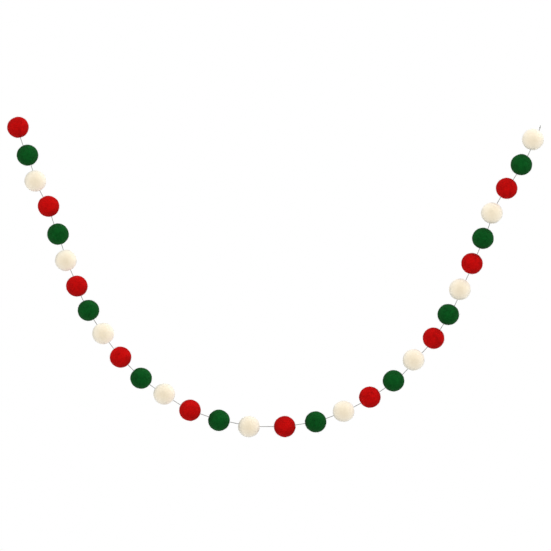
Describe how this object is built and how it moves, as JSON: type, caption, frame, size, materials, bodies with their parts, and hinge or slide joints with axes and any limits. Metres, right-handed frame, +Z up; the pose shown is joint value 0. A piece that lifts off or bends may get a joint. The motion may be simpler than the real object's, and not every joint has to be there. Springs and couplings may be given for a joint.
{
  "type": "pom-pom garland",
  "caption": "Hanging garland of round wool felt balls in red, green and cream, spaced along a fine pale thread that drops in a deep swag between its ends.",
  "frame": {"origin": "the left end of the garland: the tip of the stop knot in the first ball's upper mouth, where the thread is pinned up", "axes": "+X from the left end to the right end as seen from the front, +Z up, -Y towards the viewer; the swag hangs in the XZ plane"},
  "size_m": [0.5093, 0.02, 0.3044],
  "materials": {
    "red_felt": "matte felted wool, bright Christmas red",
    "green_felt": "matte felted wool, deep bottle green",
    "cream_felt": "matte felted wool, warm undyed cream",
    "thread": "thin twisted thread, pale grey with a faint sheen"
  },
  "bodies": {
    "root": {"ball_01_red": "red_felt", "ball_02_green": "green_felt", "ball_03_cream": "cream_felt", "ball_04_red": "red_felt", "ball_05_green": "green_felt", "ball_06_cream": "cream_felt", "ball_07_red": "red_felt", "ball_08_green": "green_felt", "ball_09_cream": "cream_felt", "ball_10_red": "red_felt", "ball_11_green": "green_felt", "ball_12_cream": "cream_felt", "ball_13_red": "red_felt", "ball_14_green": "green_felt", "ball_15_cream": "cream_felt", "ball_16_red": "red_felt", "ball_17_green": "green_felt", "ball_18_cream": "cream_felt", "ball_19_red": "red_felt", "ball_20_green": "green_felt", "ball_21_cream": "cream_felt", "ball_22_red": "red_felt", "ball_23_green": "green_felt", "ball_24_cream": "cream_felt", "ball_25_red": "red_felt", "ball_26_green": "green_felt", "ball_27_cream": "cream_felt", "ball_28_red": "red_felt", "ball_29_green": "green_felt", "ball_30_cream": "cream_felt", "thread": "thread", "left_knot": "thread", "right_knot": "thread"}
  },
  "joints": []
}
